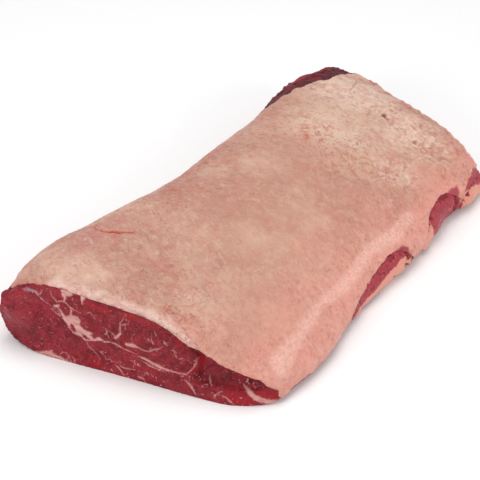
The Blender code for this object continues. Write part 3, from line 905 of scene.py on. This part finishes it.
def fat_material(settings):
    """Raw beef fat with its skin on: waxy, mottled and damp, with fine folds and small vessels."""
    surface = {
        "Specular IOR Level": 0.38,
        "Coat Weight": 0.12,
        "Coat Roughness": 0.24,
        # Light goes a little way in and comes out warmer, as in real fat.
        "Subsurface Weight": 0.16,
        "Subsurface Radius": (1.0, 0.42, 0.28),
        "Subsurface Scale": 0.004,
    }
    material, tree, shader = new_material("raw_beef_fat_damp_skin", surface)
    marks = "rough cut rosy pink cream crease ridge shine pits slit bare window vessels specks".split()
    noises = {
        # Patches 6 cm and 2 cm wide, so that the fat isn't one flat colour, and smaller blotches.
        "broad": (60, 3, 0.55, 0),
        "middle": (18, 5, 0.60, 0.4),
        "blotch": (8, 5, 0.65, 0.6),
        "mottle": (5.5, 6, 0.72, 0.7),
        "fine": (2.6, 4, 0.70, 0),
        # Fine folds run loosely across the loin. They are really 0.3 mm wide, which is too fine to show, so
        # they are drawn about 1 mm wide.
        "fold": (4.6, 6, 0.66, 0.8, (0.55, 1.0, 0.8), 24),
        "strand": (3, 5, 0.65, 1.0, (0.50, 1.0, 0.8), 58),
        "crinkle": (11, 3, 0.55, 1.4, (0.7, 1.0, 0.9), 30),
        "layers": (3, 4, 0.65, 0.9, (0.25, 0.6, 1.0), 0),
        "wander": (13, 5, 0.62, 1.2),
        # Where folds, wrinkles and vessels come and go.
        "some_folds": (20, 2, 0.55, 0),
        "some_wrinkles": (12, 2, 0.55, 0),
        "some_vessels": (9, 2, 0.55, 0),
        "damp": (9, 4, 0.60, 0),
    }
    at = fields_of(tree, marks, noises)
    uneven = share_of(tree, at.some_folds, 0.38, 0.60, least=0.5, times=(at.rough,))
    redder = share_of(tree, at.vessels, 0, 1, least=0.30)
    thin = share_of(tree, at.middle, 0.3, 0.7, least=0.45, times=(at.pink,))
    # Wrinkles are short thin valleys of painted shade, each with a pale brow of painted light beside it.
    wrinkled = share_of(tree, at.some_wrinkles, 0.48, 0.60, times=(at.rough,))
    valley = line_share(tree, at.crinkle, 0.5, 0.018, 0.002)
    lit_brow = line_share(tree, at.crinkle, 0.535, 0.022, 0.004)
    glints = share_of(tree, at.fine, 0.42, 0.62, least=0.35)
    vessel = line_share(tree, at.wander, 0.5, 0.035, 0.006)
    few_vessels = share_of(tree, at.some_vessels, 0.42, 0.56)
    many_vessels = share_of(tree, at.vessels, 0, 1, 0.80, 0.18)
    slit_edge = weighed_sum(tree, (at.slit, 1.0), (share_of(tree, at.fine, 0.3, 0.7, 0.8, -0.8), 1.0))
    # The cut fat's fibrous layers, painted in darker bands of shade and paler bands of light.
    cut_fat = layered(
        tree,
        settings.cut,
        (CUT_FAT_SHADE, 0.7, at.layers, 0.50, 0.68),
        (CUT_FAT_LIT, 0.8, at.layers, 0.45, 0.30),
    )
    bare_meat = layered(
        tree,
        settings.bare,
        (DRY_MEAT, 1.0, at.blotch, 0.40, 0.62),
        (MEAT_THREAD, 0.4, at.fine, 0.58, 0.72),
    )
    flank_meat = layered(tree, settings.window, (FLANK_LOW, 0.4, at.blotch, 0.45, 0.70))
    skin = layered(
        tree,
        settings.colour,
        (settings.cream, 0.70, at.broad, 0.45, 0.70),
        (settings.cream, 0.45, at.blotch, 0.50, 0.70),
        (settings.cream, 0.85, at.cream, 0, 1),
        (DRY_CREAM, 0.80, at.cream, 0.4, 1.4),
        (settings.pink, 0.45, at.middle, 0.46, 0.70, at.rough),
        # Reddish mottling, 5 mm wide, stronger where the vessels are.
        (MOTTLE, 0.80, at.mottle, 0.53, 0.66, at.rough, redder),
        (settings.pink, 1.0, thin, 0, 1),
        (THIN_RED, 0.7, at.pink, 0.9, 1.6),
        (settings.rosy, 0.9, at.rosy, 0, 1),
        (cut_fat, 0.9, at.cut, 0, 1),
        # Painted shade, darker and redder, in the valleys of the folds and in the creases, and painted light,
        # paler, on the tops.
        (FOLD_SHADE, 0.60, at.fold, 0.47, 0.34, uneven),
        (FOLD_LIT, 0.65, at.fold, 0.55, 0.70, uneven),
        (STRAND_SHADE, 0.30, at.strand, 0.43, 0.32, uneven),
        (STRAND_LIT, 0.50, at.strand, 0.61, 0.72, uneven),
        (STRAND_SHADE, 0.26, at.crease, 0.1, 1.0),
        (WRINKLE_SHADE, 0.65, valley, 0, 1, wrinkled),
        (WRINKLE_LIT, 0.25, lit_brow, 0, 1, wrinkled),
        # The edges of torn skin are dry and pale, with painted light where they stand up, and a red side of
        # painted shade; the thin red cuts take the same red.
        (TORN_DRY_AND_LIT, 0.65, at.ridge, 0.05, 0.8),
        (TORN_SHADE_AND_RED_CUTS, 0.55, at.ridge, -0.05, -0.8),
        # A painted highlight along the flank roll, broken into glints.
        (ROLL_PAINTED_HIGHLIGHT, 0.8, at.shine, 0, 1, glints),
        (settings.blood, 1.0, vessel, 0, 1, few_vessels, many_vessels),
        (SPECK, 0.6, at.fine, 0.56, 0.66, at.specks),
        # Painted shade in the pits.
        (PIT_SHADE, 0.85, at.pits, 0.35, 1.0),
        (settings.blood, 1.0, slit_edge, 0.9, -0.3),
        (bare_meat, 1.0, at.bare, 0, 1),
        (flank_meat, 1.0, at.window, 0, 1),
    )
    tree.links.new(skin, shader.inputs["Base Color"])
    # Damp: smoother in some patches, so that the light breaks up over it, and duller on the bare meat.
    damp = share_of(tree, at.damp, 0.35, 0.65, 0.58, 0.34)
    tree.links.new(weighed_sum(tree, (damp, 1.0), (at.bare, 0.4)), shader.inputs["Roughness"])
    height = weighed_sum(tree, (at.fold, 0.7), (at.strand, 0.3), (at.fine, 0.3))
    wrinkle = share_of(tree, valley, 0, 1, 0.08, times=(wrinkled,))
    height = weighed_sum(tree, (height, uneven), (wrinkle, -1.0))
    bump = add_node(tree, "ShaderNodeBump", {"Height": height, "Strength": 0.9, "Distance": 0.0022})
    tree.links.new(bump.outputs["Normal"], shader.inputs["Normal"])
    return material


def meet_fat(points, fat_mesh):
    """Moves the lean's points that are near the fat up to it, so that no open gap shows."""
    nearest, away = nearest_on(surface_of(fat_mesh), points)
    share = smooth_step(6.0 * MM, 2.8 * MM, away) * np.clip(1 - LEFT_OPEN / (away + SMALLEST), 0, 1)
    return points + (nearest - points) * share[:, None]


def shape_lean(piece, fat_piece, settings):
    """Gives the lean its steps, seams, fibres and ragged rim, and marks its colours."""
    mesh = piece.data
    points, normals = get_points(mesh), get_normals(mesh)
    # The rump cut has finer points than the rest, because its marbling is thin.
    refined(mesh, (normals[:, 1] < -0.5) & (points[:, 1] < RUMP_END), RUMP_CUTS)
    to_rim = even_out(mesh, settings.grid, rim_places("lean"))
    points = meet_fat(get_points(mesh), fat_piece.data)
    set_points(mesh, points)
    normals = get_normals(mesh)

    rump = smooth_step(0.40, 0.62, -normals[:, 1]) * (points[:, 1] < RUMP_END)
    rib = smooth_step(0.45, 0.65, normals[:, 1])
    flank = smooth_step(0.35, 0.6, normals[:, 0]) * (1 - rump)
    hidden = np.clip(1 - rump - flank - rib, 0, 1)
    wiggle = noise_vectors(points, 3.5 * MM, (20, 21)) + 1.6 * noise_vectors(points, 9 * MM, (22, 23))
    wiggle += 0.9 * noise_vectors(points, 1.6 * MM, (30, 31))
    across = points[:, (0, 2)] / MM
    cut_flat = across + 0.55 * wiggle
    flank_flat = points[:, (1, 2)] / MM + 0.9 * wiggle

    def on_rump(distance):
        return np.where(rump > 0.5, distance, NOT_HERE)

    fat = nearest_of(cut_flat, RUMP_FAT_LINES, RUMP_FAT_PATCHES)
    fat = np.maximum(fat, -nearest_of(cut_flat, (), RUMP_LEAN_ISLANDS))
    flank_fat = nearest_of(flank_flat, FLANK_FAT_LINES, FLANK_FAT_PATCHES)
    fat_mm = np.where(flank > 0.5, flank_fat, NOT_HERE)
    fat_mm = np.where(rib > 0.5, nearest_of(cut_flat, RIB_FAT_LINES), fat_mm)
    fat_mm = np.where(rump > 0.5, fat, fat_mm)
    silver_mm = on_rump(nearest_of(cut_flat, SILVER_LINES))
    bright_mm = on_rump(nearest_of(cut_flat, BRIGHT_LINES, BRIGHT_PATCHES))
    eye_mm = on_rump(patch_distance(cut_flat, EYE_MUSCLE))
    # The darkest meat, and painted shade under the fat's edge on the right.
    dark = blobs(across, DARK_SPOTS) * rump

    # The cut muscle's soft lumps, its grain, and long fibres in the darkest meat and in the painted shade
    # under the fat's edge.
    move = settings.lumps * (noise_field(points, 16 * MM, 24.0) + 0.5 * noise_field(points, 6 * MM, 25.0))
    move += GRAIN_HEIGHT * MM * noise_field(points, 2.2 * MM, 26.0)
    move += FIBRE_HEIGHT * MM * dark * noise_field(points, (14 * MM, 14 * MM, 1.9 * MM), 47.0)
    move += EYE_STEP * MM * smooth_step(1.0, -1.0, eye_mm)
    recess = smooth_step(55, 61, across[:, 0]) * smooth_step(116, 108, across[:, 0])
    move -= RECESS_DEPTH * MM * recess * smooth_step(12, 18, across[:, 1]) * rump
    move -= SEAM_DEPTH * MM * smooth_step(1.3, 0.0, silver_mm)
    move += MARBLING_HEIGHT * MM * smooth_step(0.6, -0.8, fat_mm)
    move += LEDGE_HEIGHT * MM * smooth_step(0.5, -0.9, bright_mm) * (points[:, 2] > 50 * MM)
    move += FOOT_LUMPS * MM * rump * blobs(across, TORN_FOOT) * noise_field(points, 3.2 * MM, 27.0)
    # The lean's own rim is ragged on the chine side, and nearly clean elsewhere.
    ragged = smooth_step(6 * MM, 0.5 * MM, to_rim) * (0.15 + smooth_step(-60, -100, across[:, 0]))
    tears = 1.3 * noise_field(points, 4.5 * MM, 28.0) + 0.9 * noise_field(points, 2.0 * MM, 29.0)
    move += ragged * MM * tears
    near_fat = nearest_on(surface_of(fat_piece.data), points)[1]
    back_strip = smooth_step(-35, -50, across[:, 0]) * smooth_step(105, 125, points[:, 1] / MM) * hidden
    move += STRIP_LUMPS * MM * back_strip * (noise_field(points, 12 * MM, 48.0) - 0.4)
    free = np.maximum(smooth_step(0.2 * MM, 2.0 * MM, near_fat), 0.15)
    scraps = smooth_step(10 * MM, 30 * MM, near_fat) * smooth_step(15 * MM, 45 * MM, behind_the_cut(points))
    points = points + normals * (move * free)[:, None]
    points[:, 2] = np.maximum(points[:, 2], 0.0)
    set_points(mesh, points)
    put_marks(
        mesh,
        fat_mm=fat_mm,
        silver_mm=silver_mm,
        bright_mm=bright_mm,
        eye_mm=eye_mm,
        dark=dark,
        window=flank,
        hidden=hidden * scraps,
        lower=smooth_step(-40, -20, across[:, 0]) * smooth_step(26, 20, across[:, 1]) * rump,
    )
    mesh.shade_smooth()


def lean_material(settings):
    """Raw beef, cut across the grain: fine fibres, marbling, silverskin and a wet shine."""
    surface = {
        "Specular IOR Level": 0.12,
        "Coat Weight": 0.03,
        "Coat Roughness": 0.22,
        "Subsurface Weight": 0.08,
        "Subsurface Radius": (1.0, 0.2, 0.15),
        "Subsurface Scale": 0.002,
    }
    material, tree, shader = new_material("raw_beef_muscle_cut_across", surface)
    marks = "fat_mm silver_mm bright_mm eye_mm dark window hidden lower".split()
    noises = {
        "broad": (30, 3, 0.55, 0),
        "middle": (8, 5, 0.60, 0.5),
        # Bundles of fibre are 1 to 2 mm wide and show as a fine grain, painted with light on the fibres and
        # shade between them.
        "grain": (1.6, 4, 0.70, 0),
        "streak": (3.5, 4, 0.65, 0.6, (0.3, 1.0, 1.0), 0),
        "some_grain": (12, 2, 0.55, 0),
        # Marbling: small flecks, and threads on the boned side.
        "flecks": (3.6, 3, 0.50, 1.4),
        "threads": (16, 5, 0.60, 1.0),
        # The boned side keeps scraps of fat and silverskin, a few centimetres wide.
        "scraps": (35, 4, 0.55, 0.7),
        "sheets": (50, 3, 0.55, 0),
    }
    at = fields_of(tree, marks, noises)
    grainy = share_of(tree, at.grain, 0.3, 0.7, 0.5, -0.5)
    soft = share_of(tree, at.middle, 0.3, 0.7, 0.7, -0.7)
    eye_edge = weighed_sum(tree, (at.eye_mm, 1.0), (grainy, 1.0))
    fat_edge = weighed_sum(tree, (at.fat_mm, 1.0), (grainy, 1.0))
    silver_edge = weighed_sum(tree, (at.silver_mm, 1.0), (grainy, 1.0))
    bright_edge = weighed_sum(tree, (at.bright_mm, 1.0), (soft, 1.0))
    patchy = share_of(tree, at.some_grain, 0.40, 0.60, least=0.25)
    streaky_dark = share_of(tree, at.streak, 0.35, 0.65, least=0.3)
    streaky_bright = share_of(tree, at.streak, 0.35, 0.62, least=0.25)
    streaky_silver = share_of(tree, at.streak, 0.35, 0.55, least=0.3)
    # There are more flecks in the lower muscles.
    more_flecks = share_of(tree, at.lower, 0, 1, 0.85, 0.30)
    threads = line_share(tree, at.threads, 0.5, 0.03, 0.008)
    fat_tone = layered(
        tree,
        settings.fat,
        (MARBLING_LOW, 0.8, at.streak, 0.45, 0.66),
        (MARBLING_TOP, 0.8, at.middle, 0.48, 0.34),
        (FLANK_FAT, 1.0, at.window, 0, 1),
    )
    meat = layered(
        tree,
        settings.colour,
        (settings.dark, 0.3, at.broad, 0.45, 0.65),
        (settings.eye, 0.85, eye_edge, 0.6, -0.6),
        (settings.window, 1.0, at.window, 0.2, 0.9),
        # The darkest meat, and painted shade in the recess under the fat's edge on the right.
        (settings.dark, 1.0, at.dark, 0, 1, streaky_dark),
        # Painted wet highlight on the smoother patches, and darker meat on the rougher ones.
        (MEAT_WET_HIGHLIGHT, 0.7, at.middle, 0.50, 0.66),
        (MEAT_LOW, 0.7, at.middle, 0.50, 0.36),
        # Painted light on the fibres that stand up and painted shade between them.
        (FIBRE_LIT, 0.6, at.grain, 0.52, 0.68, patchy),
        (FIBRE_SHADE, 0.6, at.grain, 0.48, 0.34, patchy),
        (settings.bright, 0.9, bright_edge, 0.6, -0.8, streaky_bright),
        (settings.fat, 1.0, at.flecks, 0.62, 0.70, more_flecks),
        (settings.fat, 1.0, threads, 0, 1, at.hidden),
        (settings.fat, 1.0, at.scraps, 0.54, 0.60, at.hidden),
        (settings.silver, 0.45, at.sheets, 0.50, 0.62, at.hidden),
        (fat_tone, 1.0, fat_edge, 0.35, -1.1),
        (settings.silver, 0.8, silver_edge, 0.3, -0.7, streaky_silver),
    )
    tree.links.new(meat, shader.inputs["Base Color"])
    # Wet: smoother in some patches than in others.
    tree.links.new(share_of(tree, at.middle, 0.35, 0.65, 0.50, 0.30), shader.inputs["Roughness"])
    height = weighed_sum(tree, (at.grain, 0.5), (at.streak, 0.5))
    bump = add_node(tree, "ShaderNodeBump", {"Height": height, "Strength": 0.5, "Distance": 0.0006})
    tree.links.new(bump.outputs["Normal"], shader.inputs["Normal"])
    return material


class STRIPLOIN_OT_fat(bpy.types.Operator):
    """Builds the fat cap on its solid"""

    bl_idname = "striploin.fat"
    bl_label = "Build the fat cap"

    def execute(self, context):
        settings = context.scene.striploin_fat
        piece = remeshed("fat_cap", "Fat_Cap", settings.grid)
        shape_fat(piece, settings)
        piece.data.materials.clear()
        piece.data.materials.append(fat_material(settings))
        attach(piece, "root")
        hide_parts("fat_cap")
        return {"FINISHED"}


class STRIPLOIN_OT_lean(bpy.types.Operator):
    """Builds the lean on its solid, up to the fat cap"""

    bl_idname = "striploin.lean"
    bl_label = "Build the lean"

    def execute(self, context):
        if "Fat_Cap" not in bpy.data.objects:
            raise RuntimeError("build the fat cap first: the lean is drawn up to it")
        settings = context.scene.striploin_lean
        piece = remeshed("lean", "Lean", settings.grid)
        shape_lean(piece, bpy.data.objects["Fat_Cap"], settings)
        piece.data.materials.clear()
        piece.data.materials.append(lean_material(settings))
        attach(piece, "root")
        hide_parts("lean")
        return {"FINISHED"}


def add_light(name, place, target, size, power):
    light = bpy.data.lights.new(name, "AREA")
    light.shape = "DISK"
    light.size = size
    light.energy = power
    lamp = bpy.data.objects.new(name, light)
    lamp.location = place
    lamp.rotation_euler = (Vector(target) - Vector(place)).to_track_quat("-Z", "Y").to_euler()
    bpy.context.scene.collection.objects.link(lamp)


class STRIPLOIN_OT_stage(bpy.types.Operator):
    """Adds the floor, the lights and the camera"""

    bl_idname = "striploin.stage"
    bl_label = "Build the stage"

    def execute(self, context):
        settings = context.scene.striploin_stage
        scene = context.scene
        mesh = bpy.data.meshes.new("Floor")
        corners = [(x * FLOOR_HALF, y * FLOOR_HALF, 0) for x, y in ((-1, -1), (1, -1), (1, 1), (-1, 1))]
        mesh.from_pydata(corners, [], [(0, 1, 2, 3)])
        floor = bpy.data.objects.new("Floor", mesh)
        scene.collection.objects.link(floor)
        # White paper is matt, so that the piece leaves only its soft shadow on it.
        paper = {"Base Color": (*settings.floor, 1), "Roughness": 0.9, "Specular IOR Level": 0.1}
        mesh.materials.append(new_material("matt_white_paper", paper)[0])

        world = bpy.data.worlds.new("Soft_Studio")
        scene.world = world
        world.use_nodes = True
        background = world.node_tree.nodes["Background"]
        background.inputs["Color"].default_value = (1, 1, 1, 1)
        background.inputs["Strength"].default_value = WORLD_STRENGTH * settings.light
        for name, place, size, power in LIGHTS:
            add_light(name, place, CAMERA_TARGET, size, power * settings.light)

        camera = bpy.data.objects.new("Camera", bpy.data.cameras.new("Camera"))
        scene.collection.objects.link(camera)
        turn, up = math.radians(CAMERA_TURN), math.radians(CAMERA_HEIGHT)
        back = Vector((math.sin(turn) * math.cos(up), -math.cos(turn) * math.cos(up), math.sin(up)))
        camera.location = Vector(CAMERA_TARGET) + back * CAMERA_DISTANCE
        camera.rotation_euler = (-back).to_track_quat("-Z", "Y").to_euler()
        camera.data.sensor_width = CAMERA_SENSOR
        camera.data.lens = CAMERA_LENS
        scene.camera = camera
        scene.view_settings.view_transform = "Standard"
        return {"FINISHED"}


class STRIPLOIN_PT_panel(bpy.types.Panel):
    """Sizes, colours and buttons of the striploin"""

    bl_idname = "STRIPLOIN_PT_panel"
    bl_label = "Striploin"
    bl_space_type = "VIEW_3D"
    bl_region_type = "UI"
    bl_category = "Striploin"

    def draw(self, context):
        groups = (
            (context.scene.striploin_fat, "striploin.fat"),
            (context.scene.striploin_lean, "striploin.lean"),
            (context.scene.striploin_stage, "striploin.stage"),
        )
        for settings, operator in groups:
            box = self.layout.box()
            for name in settings.__annotations__:
                box.prop(settings, name)
            box.operator(operator)


CLASSES = (
    FatSettings,
    LeanSettings,
    StageSettings,
    STRIPLOIN_OT_fat,
    STRIPLOIN_OT_lean,
    STRIPLOIN_OT_stage,
    STRIPLOIN_PT_panel,
)


def register():
    for cls in CLASSES:
        bpy.utils.register_class(cls)
    bpy.types.Scene.striploin_fat = PointerProperty(type=FatSettings)
    bpy.types.Scene.striploin_lean = PointerProperty(type=LeanSettings)
    bpy.types.Scene.striploin_stage = PointerProperty(type=StageSettings)


def unregister():
    del bpy.types.Scene.striploin_stage
    del bpy.types.Scene.striploin_lean
    del bpy.types.Scene.striploin_fat
    for cls in reversed(CLASSES):
        bpy.utils.unregister_class(cls)


def main():
    register()
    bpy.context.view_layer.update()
    bpy.ops.striploin.fat()
    bpy.ops.striploin.lean()
    bpy.ops.striploin.stage()


if __name__ == "__main__":
    main()
